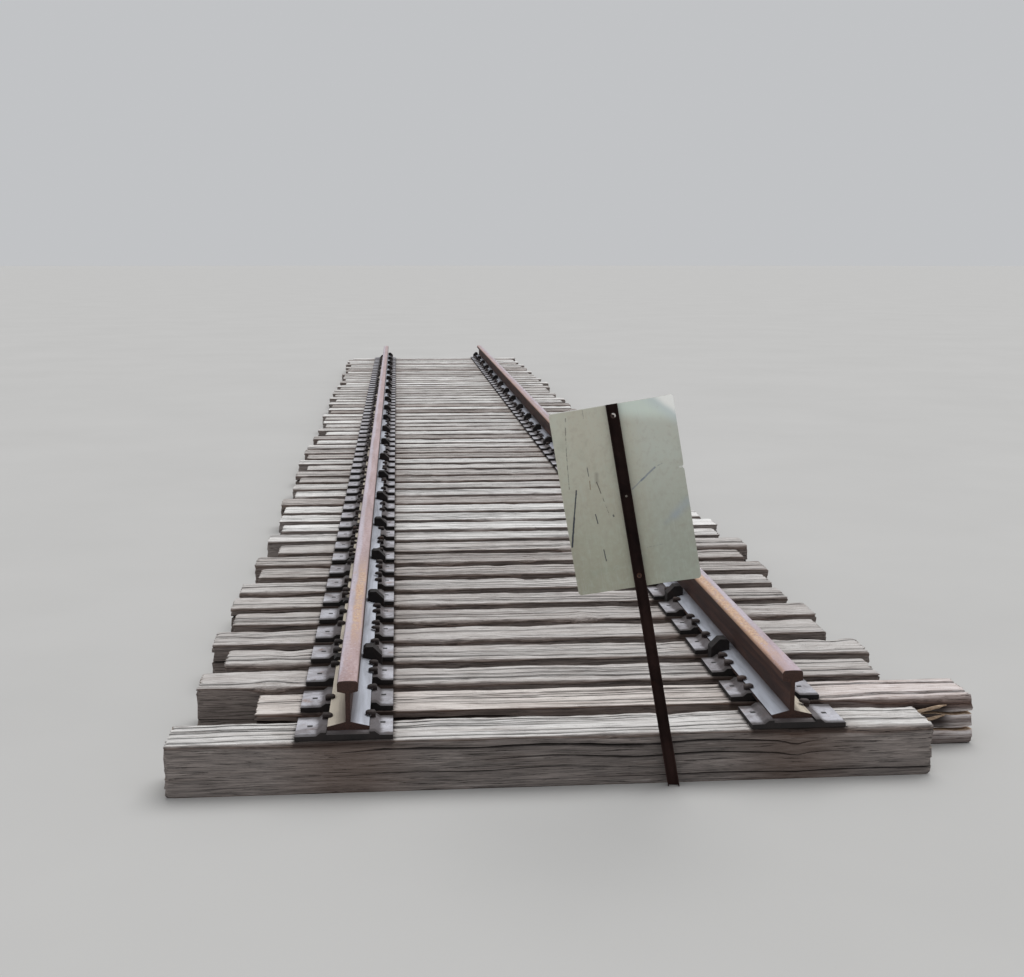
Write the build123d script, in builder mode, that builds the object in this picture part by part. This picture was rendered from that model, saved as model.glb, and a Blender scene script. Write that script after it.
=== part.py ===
"""Track end with a stop sign: two flat-bottom rails on timber ties, and a leaning sign post.

The track's centre line is the Y axis and +Y leads away from its end. The origin is on the ground,
under the middle of the end tie. Sizes are in millimetres and degrees.
"""

import os

from build123d import *

# Track
gauge = 1435.0
bays = 6
ties_in_bay = 10
tie_length = 2591.0
tie_width = 229.0
tie_height = 178.0
tie_crib = 75.8
tie_arris = 12.0
tie_stagger = (-17, 8, -38, 25, -58, -12, -52, -46, 14, -33, 61, -24, 30, -8, -5, -45, 20)
end_tie_shift = -58.0

# Rail section
rail_length = 18288.0
rail_end_inset = 60.0
rail_height = 168.3
rail_base = 139.7
rail_base_edge = 12.0
rail_head = 69.1
rail_head_depth = 42.9
rail_web = 15.9
rail_slope = 0.25
rail_crown_radius = 254.0
rail_corner_radius = 10.0
rail_web_fillet = 19.0
rail_edge_radius = 3.0

# Tie plates
plate_length = 197.0
plate_field = 175.0
plate_gauge = 148.0
plate_seat = 20.0
plate_end_thickness = 15.0
shoulder_rise = 8.0
shoulder_width = 17.0
shoulder_run = 16.0
shoulder_clearance = 1.5

# Rail anchors
anchor_every = 3
anchor_first = 2
anchor_crib_room = 16.0
anchor_bar = 18.0
anchor_drop = 45.0
anchor_rise = 64.0
anchor_jaw = 34.0
anchor_hook = 11.0
anchor_lip = 38.0
anchor_hook_lip = 18.0
anchor_slope = 34.0
anchor_chamfer = 10.0
anchor_clearance = 0.3

# Split tie: the second one, pushed out to the right
split_tie_number = 1
split_tie_shift = 205.0
split_length = 380.0
split_mouth = 12.0
split_heights = (58.0, 116.0)
broken_corner = 30.0
broken_length = 420.0
splinter_length = 145.0
splinter_depth = 9.0
splinter_height = 13.0
splinter_angle = 11.0
splinter_places = ((176.0, 136.0), (180.0, 97.0))

# Sign
post_width = 38.0
post_depth = 19.0
post_wall = 3.2
post_foot_x = 334.0
post_length = 1301.0
sign_lean = 9.9
sign_yaw = -9.1
panel_width = 406.0
panel_height = 610.0
panel_thickness = 2.0
panel_corner_radius = 12.0
panel_offset = 4.0
fold_reach = 66.0
fold_radius = 150.0
fold_angle = 28.0
bolt_margin = 38.0
bolt_radius = 4.0
bolt_clearance = 0.6
bolt_head_radius = 9.0
bolt_head_height = 4.5
bolt_head_edge = 2.5
bolt_end = 4.0
nut_across_flats = 13.0
nut_height = 6.5
washer_radius = 8.6
washer_thickness = 1.6
spare_hole_radius = 4.0
seat_clearance = 0.3

tie_pitch = tie_width + tie_crib
tie_count = round(rail_length / tie_pitch)
anchor_length = tie_crib - anchor_crib_room
rail_centre = gauge / 2 + rail_head / 2
rail_start = rail_end_inset - tie_width / 2
rail_seat = tie_height + plate_seat
base_half = rail_base / 2
head_half = rail_head / 2
web_half = rail_web / 2
sides = {"left": -1, "right": 1}


def tie_y(number):
    return number * tie_pitch


def finish(piece, label):
    piece.part.label = label
    export_step(piece.part, f"parts/{label}.step")


def rail_points():
    """Half of the rail's section, from the middle of its base up to the corner of its head."""
    base_upper = rail_base_edge + rail_slope * (base_half - web_half)
    head_inner = rail_height - rail_head_depth
    head_lower = head_inner + rail_slope * (head_half - web_half)
    crown_drop = rail_crown_radius - (rail_crown_radius**2 - head_half**2) ** 0.5
    return [
        (0, 0),
        (base_half, 0),
        (base_half, rail_base_edge),
        (web_half, base_upper),
        (web_half, head_inner),
        (head_half, head_lower),
        (head_half, rail_height - crown_drop),
    ]


def rail_section():
    """The whole section, round where it is rolled: crown, head corners, web and base edges."""
    half = rail_points()
    with BuildSketch() as section:
        with BuildLine():
            Polyline(*half)
            ThreePointArc(half[-1], (0, rail_height), (-half[-1][0], half[-1][1]))
            Polyline(*[(-x, z) for x, z in half])
        make_face()
        corners = section.vertices()
        web = corners.filter_by(lambda v: abs(abs(v.X) - web_half) < 1)
        edges = corners.filter_by(lambda v: abs(v.X) > head_half + 1)
        head = corners.filter_by(lambda v: abs(abs(v.X) - head_half) < 1)
        fillet(head.filter_by(lambda v: v.Y > half[-1][1] - 1), rail_corner_radius)
        fillet(head.filter_by(lambda v: v.Y < half[-1][1] - 1), rail_edge_radius)
        fillet(edges.filter_by(lambda v: v.Y > 1), rail_edge_radius)
        fillet(web, rail_web_fillet)
    return section.sketch


def plate_points(side):
    """Section of a shouldered tie plate, its field end reaching out further than its gauge end."""
    seat_half = base_half + shoulder_clearance
    top = plate_seat + shoulder_rise
    ridge = seat_half + shoulder_width
    heel = ridge + shoulder_run
    points = [
        (-plate_field, 0),
        (plate_gauge, 0),
        (plate_gauge, plate_end_thickness),
        (heel, plate_seat - shoulder_rise / 2),
        (ridge, top),
        (seat_half, top),
        (seat_half, plate_seat),
        (-seat_half, plate_seat),
        (-seat_half, top),
        (-ridge, top),
        (-heel, plate_seat - shoulder_rise / 2),
        (-plate_field, plate_end_thickness),
    ]
    return [(-side * x, z) for x, z in points]


def anchor_points(side):
    """Section of a spring clip round the rail's base: hook on the field side, jaw inside."""
    inner = base_half + anchor_clearance
    outer = inner + anchor_jaw
    hook = inner + anchor_hook
    edge = rail_base_edge + anchor_clearance
    lip_in = base_half - anchor_lip
    lip = edge + rail_slope * anchor_lip
    hook_in = base_half - anchor_hook_lip
    hook_lip = edge + rail_slope * anchor_hook_lip
    points = [
        (-hook, -anchor_bar),
        (hook_in, -anchor_bar),
        (inner - anchor_chamfer, -anchor_drop),
        (outer - anchor_chamfer, -anchor_drop),
        (outer, -anchor_drop + anchor_chamfer),
        (outer, anchor_rise - anchor_slope),
        (outer - anchor_slope, anchor_rise),
        (lip_in + anchor_chamfer, anchor_rise),
        (lip_in, anchor_rise - anchor_chamfer),
        (lip_in, lip),
        (inner, edge),
        (inner, 0),
        (-inner, 0),
        (-inner, edge),
        (-hook_in, hook_lip),
        (-hook_in, hook_lip + anchor_hook),
        (-base_half, hook_lip + anchor_hook),
        (-hook, hook_lip),
    ]
    return [(-side * x, z) for x, z in points]


def tie(x, y):
    """A squared timber across the track, with its two upper arrises worn off."""
    with BuildSketch(Plane.YZ.offset(x - tie_length / 2)) as end:
        with Locations((y, tie_height / 2)):
            Rectangle(tie_width, tie_height)
        chamfer(end.vertices().group_by(Axis.Y)[-1], tie_arris)
    extrude(end.sketch, amount=tie_length)


os.makedirs("parts", exist_ok=True)

# Rails
for name, side in sides.items():
    with BuildPart() as rail:
        with BuildSketch(Plane.XZ.offset(-rail_start)):
            with Locations((side * rail_centre, rail_seat)):
                add(rail_section())
        extrude(amount=-rail_length)
    finish(rail, f"{name}_rail")

# Ties, their plates and every third crib's anchors, bay by bay
for bay in range(bays):
    bay_end = tie_count if bay == bays - 1 else (bay + 1) * ties_in_bay
    numbers = range(bay * ties_in_bay, bay_end)
    with BuildPart() as ties:
        for number in numbers:
            if number not in (0, split_tie_number):
                tie(tie_stagger[number % len(tie_stagger)], tie_y(number))
    finish(ties, f"ties_bay_{bay + 1}")

    for name, side in sides.items():
        with BuildPart() as plates:
            for number in numbers:
                with BuildSketch(Plane.XZ.offset(-tie_y(number) - plate_length / 2)):
                    with Locations((side * rail_centre, tie_height)):
                        Polygon(*plate_points(side), align=None)
                extrude(amount=plate_length)
        finish(plates, f"tie_plates_{name}_{bay + 1}")

        with BuildPart() as anchors:
            for number in numbers:
                if number % anchor_every == anchor_first:
                    start = tie_y(number) + tie_width / 2
                    with BuildSketch(Plane.XZ.offset(-start - anchor_length)):
                        with Locations((side * rail_centre, rail_seat)):
                            Polygon(*anchor_points(side), align=None)
                    extrude(amount=anchor_length)
        finish(anchors, f"rail_anchors_{name}_{bay + 1}")

# End tie, under the ends of the rails
with BuildPart() as end_tie:
    tie(end_tie_shift, 0)
finish(end_tie, "end_tie")

# Split tie: opened from its right end and broken along its near upper arris
split_x = split_tie_shift + tie_length / 2
split_near = tie_y(split_tie_number) - tie_width / 2
with BuildPart() as split_tie:
    tie(split_tie_shift, tie_y(split_tie_number))
    with BuildSketch(Plane.XZ.offset(-split_near)):
        for height in split_heights:
            with Locations((split_x, height)):
                Polygon((0, -split_mouth / 2), (0, split_mouth / 2), (-split_length, 0), align=None)
    extrude(amount=-tie_width, mode=Mode.SUBTRACT)
    for reach, size in ((0, broken_corner), (-broken_length, tie_arris)):
        with BuildSketch(Plane.YZ.offset(split_x + reach)):
            with Locations((split_near, tie_height)):
                Polygon((0, 0), (size, 0), (0, -size), align=None)
    loft(ruled=True, mode=Mode.SUBTRACT)
finish(split_tie, "split_tie")

# Slivers that peeled off the split tie's near face and stay against it
with BuildPart() as splinters:
    with BuildSketch(Plane.XZ.offset(-split_near)):
        for back, height in splinter_places:
            with Locations(Location((split_x - back, height, 0), (0, 0, splinter_angle))):
                Rectangle(splinter_length, splinter_height)
    extrude(amount=splinter_depth)
finish(splinters, "split_tie_splinters")

# Leaning sign: X across the panel, Y along the post from its foot, Z towards the track's end
across = Vector(1, 0, 0).rotate(Axis.Y, -sign_lean).rotate(Axis.Z, sign_yaw)
along = Vector(0, 0, 1).rotate(Axis.Y, -sign_lean).rotate(Axis.Z, sign_yaw)
towards = across.cross(along)
leg_reach = abs(across.Y) * post_width / 2 + along.Y / along.Z * tie_height
foot = Vector(post_foot_x, -tie_width / 2 - leg_reach - seat_clearance, 0)
sign_face = Plane(origin=foot, x_dir=across, z_dir=towards)
post_section = Plane(origin=foot, x_dir=across, z_dir=along)
bolt_heights = (post_length - bolt_margin, post_length - panel_height + bolt_margin)
panel_middle = (-panel_offset, post_length - panel_height / 2)
panel_corner = Vector(panel_width / 2 - panel_offset, post_length, 0)

# The channel's web lies against the panel and its legs point away from the track
with BuildPart() as sign_post:
    with BuildSketch(post_section.offset(-post_width)):
        with Locations((0, -post_depth / 2)):
            Rectangle(post_width, post_depth)
        with Locations((0, -post_wall - post_depth / 2)):
            Rectangle(post_width - 2 * post_wall, post_depth, mode=Mode.SUBTRACT)
    extrude(amount=post_length + post_width)
    split(bisect_by=Plane.XY, keep=Keep.TOP)
    with BuildSketch(sign_face):
        for height in bolt_heights:
            with Locations((0, height)):
                Circle(bolt_radius + bolt_clearance)
        with Locations((0, sum(bolt_heights) / 2)):
            Circle(spare_hole_radius)
    extrude(amount=post_wall, mode=Mode.SUBTRACT)
finish(sign_post, "sign_post")

# The panel's upper right corner is bent away along a slanting line, on an even curve
fold_way = (across + along).normalized()
fold_start = sign_face.from_local_coords(panel_corner) - fold_way * fold_reach
fold_section = Plane(origin=fold_start, x_dir=fold_way, z_dir=fold_way.cross(towards))
fold_middle = (0, -fold_radius)
with BuildPart() as bent_corner:
    with BuildSketch(fold_section):
        with BuildLine():
            outer = CenterArc(fold_middle, fold_radius, 90 - fold_angle, fold_angle)
            inner = CenterArc(fold_middle, fold_radius - panel_thickness, 90 - fold_angle, fold_angle)
            Line(outer @ 0, inner @ 0)
            Line(outer @ 1, inner @ 1)
        make_face()
    extrude(amount=2 * fold_reach, both=True)
    with BuildSketch(sign_face.offset(-fold_radius)):
        with Locations(panel_middle):
            RectangleRounded(panel_width, panel_height, panel_corner_radius)
    extrude(amount=2 * fold_radius, mode=Mode.INTERSECT)

with BuildPart() as sign_panel:
    with BuildSketch(sign_face):
        with Locations(panel_middle):
            RectangleRounded(panel_width, panel_height, panel_corner_radius)
        for height in bolt_heights:
            with Locations((0, height)):
                Circle(bolt_radius + bolt_clearance, mode=Mode.SUBTRACT)
    extrude(amount=-panel_thickness)
    split(bisect_by=Plane(origin=fold_start, z_dir=fold_way), keep=Keep.BOTTOM)
    add(bent_corner.part)
finish(sign_panel, "sign_panel")

# Each bolt's round head lies on the panel's front, its nut and washer inside the channel
for name, height in zip(("upper", "lower"), bolt_heights):
    with BuildPart() as bolt:
        with BuildSketch(sign_face.offset(-panel_thickness)):
            with Locations((0, height)):
                Circle(bolt_head_radius)
        extrude(amount=-bolt_head_height)
        chamfer(bolt.faces().sort_by(Axis(foot, towards))[0].edges(), bolt_head_edge)
        with BuildSketch(sign_face.offset(-panel_thickness)):
            with Locations((0, height)):
                Circle(bolt_radius)
        extrude(amount=panel_thickness + post_wall + washer_thickness + nut_height + bolt_end)
    finish(bolt, f"sign_bolt_{name}")

    with BuildPart() as washer:
        with BuildSketch(sign_face.offset(post_wall)):
            with Locations((0, height)):
                Circle(washer_radius)
                Circle(bolt_radius + bolt_clearance, mode=Mode.SUBTRACT)
        extrude(amount=washer_thickness)
    finish(washer, f"sign_washer_{name}")

    with BuildPart() as nut:
        with BuildSketch(sign_face.offset(post_wall + washer_thickness)):
            with Locations((0, height)):
                RegularPolygon(nut_across_flats / 2, 6, major_radius=False)
                Circle(bolt_radius + seat_clearance, mode=Mode.SUBTRACT)
        extrude(amount=nut_height)
    finish(nut, f"sign_nut_{name}")
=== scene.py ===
"""Looks of the railway track end with its stop sign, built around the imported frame. Metres."""

import math

import bpy
import numpy as np
from mathutils import Matrix, Vector


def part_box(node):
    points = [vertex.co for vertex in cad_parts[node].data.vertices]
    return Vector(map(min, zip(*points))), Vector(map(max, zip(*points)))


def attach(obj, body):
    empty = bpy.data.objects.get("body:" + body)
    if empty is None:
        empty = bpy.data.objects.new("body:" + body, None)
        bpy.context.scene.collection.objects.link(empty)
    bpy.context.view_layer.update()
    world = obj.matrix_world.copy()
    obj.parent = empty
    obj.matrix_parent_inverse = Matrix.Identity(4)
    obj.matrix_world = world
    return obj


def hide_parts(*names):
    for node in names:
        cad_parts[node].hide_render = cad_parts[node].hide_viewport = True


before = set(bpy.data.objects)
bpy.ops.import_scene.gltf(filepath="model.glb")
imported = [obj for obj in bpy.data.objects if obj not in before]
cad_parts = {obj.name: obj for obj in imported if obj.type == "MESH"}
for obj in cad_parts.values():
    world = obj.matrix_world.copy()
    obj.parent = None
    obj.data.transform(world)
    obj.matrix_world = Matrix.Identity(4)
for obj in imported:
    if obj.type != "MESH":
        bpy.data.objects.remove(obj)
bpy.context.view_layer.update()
mm = 0.001

# Sizes read off the frame
rail_low, rail_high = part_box("right_rail")
tie_low, tie_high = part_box("end_tie")
rail_x = (rail_low.x + rail_high.x) / 2
rail_seat = rail_low.z
rail_top = rail_high.z
rail_start = rail_low.y
rail_base_half = (rail_high.x - rail_low.x) / 2
tie_length = tie_high.x - tie_low.x
tie_width = tie_high.y - tie_low.y
tie_height = tie_high.z - tie_low.z
end_tie_shift = (tie_high.x + tie_low.x) / 2
plate_low, plate_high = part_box("tie_plates_right_1")
plate_gauge = rail_x - plate_low.x
plate_field = plate_high.x - rail_x
split_low, split_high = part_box("split_tie")
split_tie_shift = (split_high.x + split_low.x) / 2

# Sizes shared with the part's source
bays = 6
ties_in_bay = 10
tie_pitch = (rail_high.y - rail_low.y) / (bays * ties_in_bay)
tie_stagger = [x * mm for x in (
    -17, 8, -38, 25, -58, -12, -52, -46, 14, -33, 61, -24, 30, -8, -5, -45, 20)]
rail_base_edge = 12 * mm
rail_head_half = 34.55 * mm
split_length = 380 * mm
split_mouth = 12 * mm
split_heights = (58 * mm, 116 * mm)
broken_corner = 30 * mm
broken_length = 420 * mm
end_tie_number = 0
split_tie_number = 1
split_middle = split_tie_number * tie_pitch
splinter_length = 145 * mm
splinter_depth = 9 * mm
splinter_height = 13 * mm
splinter_angle = 11
splinter_places = ((176 * mm, 136 * mm), (180 * mm, 97 * mm))
sign_lean = 9.9
sign_yaw = -9.1
post_width = 38 * mm
post_foot_x = 334 * mm
post_length = 1301 * mm
panel_width = 406 * mm
panel_height = 610 * mm
panel_thickness = 2 * mm
panel_corner_radius = 12 * mm
panel_offset = 4 * mm
fold_reach = 66 * mm
fold_radius = 150 * mm
seat_clearance = 0.3 * mm

# Wear and fasteners that only this scene shows
arris_size = 16 * mm
split_arris_size = 9 * mm
base_edge_radius = 4 * mm
lower_bend_reach = 75 * mm
lower_bend_curve = 0.5
nick_drop = 237 * mm
nick_half = 7 * mm
nick_depth = 6 * mm
nick_margin = 8 * mm
spike_along = 52 * mm
spike_off_base = 6 * mm

# Seeds of the random draws
end_tie_seed = 30
split_tie_seed = 40
split_seed = 77
sliver_seed = 12
spike_seed = 500

# The photograph's camera, fitted to the two rails: pixels, metres and degrees
photo_width = 1024
focal_length = 1400
camera_left = 0.572
camera_before_rails = 4.495
camera_height = 1.742
camera_turn = 4.66
camera_tilt = 9.29


# Materials
wood_roughness = 0.92


def rgb(red, green, blue):
    """A colour as seen, 0 to 255, turned into linear values."""
    values = [c / 255 for c in (red, green, blue)]
    return tuple(c / 12.92 if c < 0.04045 else ((c + 0.055) / 1.055) ** 2.4 for c in values) + (1,)


class Shader:
    """A material's node tree, with short calls for the nodes used here."""

    def __init__(self, name):
        self.material = bpy.data.materials.new(name)
        self.material.use_nodes = True
        self.tree = self.material.node_tree
        self.surface = self.tree.nodes["Principled BSDF"]
        self.place = self.node("ShaderNodeTexCoord").outputs["Object"]
        self.x, self.y, self.z = self.split(self.place)

    def node(self, kind, inputs=(), **settings):
        made = self.tree.nodes.new(kind)
        for key, value in settings.items():
            setattr(made, key, value)
        for key, value in dict(inputs).items():
            self.feed(made.inputs[key], value)
        return made

    def feed(self, socket, value):
        if isinstance(value, bpy.types.NodeSocket):
            self.tree.links.new(value, socket)
        else:
            socket.default_value = value

    def set(self, **inputs):
        for key, value in inputs.items():
            self.feed(self.surface.inputs[key.replace("_", " ")], value)

    def stretched(self, scale, offset=(0, 0, 0)):
        inputs = {"Vector": self.place, "Scale": scale, "Location": offset}
        return self.node("ShaderNodeMapping", inputs).outputs["Vector"]

    def noise(self, scale, detail=4, rough=0.6, stretch=(1, 1, 1), warp=0, offset=(0, 0, 0)):
        inputs = {"Vector": self.stretched(stretch, offset), "Scale": scale, "Detail": detail,
                  "Roughness": rough, "Distortion": warp}
        return self.node("ShaderNodeTexNoise", inputs).outputs["Fac"]

    def ramp(self, fac, stops):
        made = self.node("ShaderNodeValToRGB", {"Fac": fac})
        points = made.color_ramp.elements
        while len(points) < len(stops):
            points.new(0.5)
        for point, (place, colour) in zip(points, stops):
            point.position = place
            point.color = colour if isinstance(colour, tuple) else (colour, colour, colour, 1)
        return made.outputs["Color"]

    def step(self, value, low, high):
        """A smooth rise from 0 at low to 1 at high; low may be the greater one."""
        inputs = {"Value": value, "From Min": low, "From Max": high}
        made = self.node("ShaderNodeMapRange", inputs, interpolation_type="SMOOTHSTEP")
        return made.outputs["Result"]

    def mix(self, fac, first, second):
        made = self.node("ShaderNodeMix", data_type="RGBA")
        for index, value in ((0, fac), (6, first), (7, second)):
            self.feed(made.inputs[index], value)
        return made.outputs[2]

    def tint(self, base, colour, value, low, high, *shares):
        """The base colour, mixed with another as value steps from low to high, times the shares."""
        return self.mix(self.both(self.step(value, low, high), *shares), base, colour)

    def math(self, operation, first, second=0.0):
        made = self.node("ShaderNodeMath", operation=operation)
        for index, value in enumerate((first, second)):
            self.feed(made.inputs[index], value)
        return made.outputs[0]

    def both(self, *values):
        """The product of the values."""
        result = values[0]
        for value in values[1:]:
            result = self.math("MULTIPLY", result, value)
        return result

    def sway(self, value, noise, size):
        """The value, moved up and down by noise that ranges over the given size."""
        return self.math("ADD", value, self.both(self.math("SUBTRACT", noise, 0.5), size))

    def vector_math(self, operation, inputs, output="Vector"):
        return self.node("ShaderNodeVectorMath", inputs, operation=operation).outputs[output]

    def field(self, name):
        return self.node("ShaderNodeAttribute", attribute_name=name).outputs["Fac"]

    def split(self, vector):
        return self.node("ShaderNodeSeparateXYZ", {"Vector": vector}).outputs

    def out_of_rail(self):
        """Distance across the track from a rail's middle, positive on its field side."""
        return self.math("SUBTRACT", self.math("ABSOLUTE", self.x), rail_x)

    def upward(self):
        """How far the surface faces up, from 0 to 1."""
        normal = self.node("ShaderNodeNewGeometry").outputs["Normal"]
        return self.step(self.split(normal)["Z"], 0.35, 0.85)

    def bump(self, height, strength, distance):
        inputs = {"Height": height, "Strength": strength, "Distance": distance}
        return self.node("ShaderNodeBump", inputs).outputs["Normal"]


def beside_plates(s, fibre):
    """How far a tie's upper part is darkened near-black around its plates, from 0 to 1."""
    out = s.sway(s.out_of_rail(), fibre, 90 * mm)
    return s.both(s.step(out, -plate_gauge - 12 * mm, -plate_gauge),
                  s.step(out, plate_field + 12 * mm, plate_field),
                  s.step(s.z, tie_height - 34 * mm, tie_height - 6 * mm))


def shade_behind_slivers(s):
    """Painted shade of a hollow behind the slivers on the split tie's near face, from 0 to 1."""
    return s.both(s.step(s.x, split_high.x - 330 * mm, split_high.x - 240 * mm),
                  s.step(s.x, split_high.x - 60 * mm, split_high.x - 130 * mm),
                  s.step(s.y, split_low.y + 40 * mm, split_low.y + 20 * mm),
                  s.step(s.z, 160 * mm, 144 * mm),
                  s.step(s.z, 50 * mm, 80 * mm))


def timber_material(name, pale, grey, brown, dark, fresh=None, umber=None):
    """Weathered timber, grain along X: covered sides browner, painted shade on them and in cracks,
    dark by plates.
    """
    s = Shader(name)
    fibre = s.noise(6, 8, 0.72, (1.0, 34, 34), 0.4)
    streak = s.noise(3, 5, 0.6, (0.5, 14, 14), 0.8, (3, 1, 7))
    patch = s.noise(3.2, 4, 0.6, (1, 1.6, 1.6), 0.5, (5, 2, 1))
    wood = s.ramp(fibre, [(0.28, brown), (0.4, grey), (0.56, pale)])
    wood = s.tint(wood, s.mix(0.5, brown, grey), streak, 0.52, 0.68, 0.5)
    wood = s.tint(wood, pale, patch, 0.5, 0.68, 0.5)
    if fresh:
        straw, tan, start, end = fresh
        bare = s.ramp(fibre, [(0.3, brown), (0.44, tan), (0.6, straw)])
        wood = s.tint(wood, bare, s.sway(s.x, streak, 0.5), start, end)
    dull = s.mix(0.3, s.ramp(fibre, [(0.3, dark), (0.42, brown), (0.62, grey)]), brown)
    wood = s.mix(s.both(s.field("tone"), 0.85), wood, dull)
    # Covered sides: browner weathered wood, also darker as painted shade
    if umber:
        side_wood_and_shade = s.ramp(fibre, [(0.36, dark), (0.58, umber), (0.82, brown)])
        # Painted shade: on the split tie the covered sides darken towards the bottom
        side_wood_and_shade = s.tint(side_wood_and_shade, dark, s.z, 0.84 * tie_height, 0.6 * tie_height, 0.5)
        wood = s.mix(s.field("shelter_and_shade"), wood, side_wood_and_shade)
        # Painted shade of the hollow behind the slivers
        wood = s.mix(s.both(shade_behind_slivers(s), 0.88), wood, dark)
    else:
        side_wood_and_shade = s.ramp(fibre, [(0.36, dark), (0.6, brown), (0.85, grey)])
        wood = s.mix(s.field("shelter_and_shade"), wood, side_wood_and_shade)
    wood = s.mix(s.both(s.field("stain"), 0.6), wood, rgb(92, 70, 58))
    wood = s.mix(s.both(beside_plates(s, fibre), 0.8), wood, rgb(40, 30, 27))
    checks = s.step(s.noise(9, 6, 0.75, (0.6, 30, 30), 0.3, (1, 9, 4)), 0.41, 0.35)
    # Painted shade in cracks, from the crack field and the drawn checks
    depth = s.math("MAXIMUM", s.field("crack"), s.both(checks, 0.85))
    wood = s.mix(depth, wood, dark)
    relief = s.math("SUBTRACT", s.both(fibre, 0.7), checks)
    relief = s.bump(relief, 0.9, 5 * mm)
    s.set(Base_Color=wood, Roughness=wood_roughness, Normal=relief, Specular_IOR_Level=0.15)
    return s.material


def torn_material():
    """Freshly torn timber: straw and tan fibres along X, with painted shade in the gaps between
    them.
    """
    s = Shader("torn_wood")
    fibre = s.noise(8, 7, 0.7, (1.2, 60, 60), 0.5)
    wood = s.ramp(fibre, [(0.3, rgb(66, 47, 37)), (0.42, rgb(146, 121, 101)),
                          (0.56, rgb(192, 170, 146)), (0.7, rgb(220, 206, 186))])
    relief = s.bump(fibre, 0.9, 3 * mm)
    s.set(Base_Color=wood, Roughness=wood_roughness, Normal=relief, Specular_IOR_Level=0.15)
    return s.material


def end_grain_material():
    """Sawn end of a timber: growth rings, radial checks darkened as painted shade, and dirt."""
    s = Shader("end_grain")
    pale, dark = rgb(162, 152, 142), rgb(78, 64, 55)
    place = s.stretched((0, 1, 1), (0, 0, 0.03))
    inputs = {"Vector": place, "Scale": 34, "Distortion": 3.5, "Detail": 4}
    wave = s.node("ShaderNodeTexWave", inputs, wave_type="RINGS", rings_direction="SPHERICAL")
    ring = wave.outputs["Fac"]
    speck = s.noise(60, 6, 0.7)
    wood = s.mix(s.both(ring, 0.5), pale, dark)
    wood = s.tint(wood, dark, speck, 0.5, 0.75)
    # Painted shade in the radial checks
    wood = s.mix(s.field("crack"), wood, rgb(26, 20, 17))
    relief = s.bump(s.math("ADD", ring, speck), 0.6, 2 * mm)
    s.set(Base_Color=wood, Roughness=wood_roughness, Normal=relief, Specular_IOR_Level=0.2)
    return s.material


def rusty_material(name, bright, rust, dark, orange, gloss=0.5, sheen=0.5):
    """Old rolled steel: fine scaly rust, with brighter orange blooms."""
    s = Shader(name)
    scale = s.noise(240, 8, 0.7)
    cloud = s.noise(5, 6, 0.65, (1, 0.35, 1), 0.6)
    bloom = s.noise(11, 6, 0.7, (1, 0.5, 1), 0.8, (4, 8, 2))
    steel = s.ramp(cloud, [(0.3, dark), (0.5, rust), (0.72, bright)])
    steel = s.tint(steel, orange, bloom, 0.55, 0.72, 0.6)
    steel = s.tint(steel, dark, scale, 0.52, 0.7, 0.55)
    s.set(Base_Color=steel, Roughness=s.ramp(cloud, [(0.3, 0.85), (0.75, gloss)]), Metallic=0.2)
    s.set(Specular_IOR_Level=sheen, Normal=s.bump(s.math("ADD", scale, cloud), 0.5, 1.2 * mm))
    return s.material


def plate_material():
    """Tie plates: pale tops, painted shade near-black on the sides, by the rail, along the edges
    and in square spike holes.
    """
    s = Shader("plate_rust")
    scale = s.noise(200, 8, 0.7)
    cloud = s.noise(9, 6, 0.65, (1, 1, 1), 0.6)
    bloom = s.noise(14, 6, 0.7, (1, 1, 1), 0.8, (4, 8, 2))
    out = s.out_of_rail()
    along = s.math("MODULO", s.math("ADD", s.y, tie_pitch / 2), tie_pitch)
    along = s.math("SUBTRACT", along, tie_pitch / 2)
    top = s.ramp(cloud, [(0.32, rgb(106, 100, 102)), (0.46, rgb(150, 148, 153)),
                         (0.64, rgb(184, 184, 191))])
    top = s.tint(top, rgb(96, 80, 74), scale, 0.5, 0.68, 0.5)
    top = s.tint(top, rgb(146, 112, 94), bloom, 0.56, 0.7, 0.5)
    # Painted shade on the tops beside the rail
    shade_by_rail = s.sway(s.math("ABSOLUTE", out), bloom, 40 * mm)
    top = s.tint(top, rgb(52, 40, 38), shade_by_rail, 118 * mm, 98 * mm, 0.8)
    # Painted shade along the plates' near and far edges
    rim = s.sway(s.math("ABSOLUTE", along), bloom, 50 * mm)
    top = s.tint(top, rgb(42, 35, 35), rim, 60 * mm, 88 * mm, 0.85)
    # Painted shade: faces that don't face up are near-black
    side = s.ramp(cloud, [(0.35, rgb(15, 11, 11)), (0.65, rgb(34, 26, 25))])
    steel = s.mix(s.upward(), side, top)
    # Painted shade in square spike holes
    for hole_out, hole_along in ((130 * mm, 6 * mm), (-114 * mm, 30 * mm)):
        across = s.math("ABSOLUTE", s.math("SUBTRACT", out, hole_out))
        away = s.math("ABSOLUTE", s.math("SUBTRACT", along, hole_along))
        square = s.math("MAXIMUM", across, away)
        steel = s.tint(steel, rgb(14, 11, 11), square, 9.5 * mm, 8.5 * mm)
    s.set(Base_Color=steel, Roughness=0.75, Metallic=0.1)
    s.set(Normal=s.bump(s.math("ADD", scale, cloud), 0.5, 1.2 * mm))
    return s.material


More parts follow.
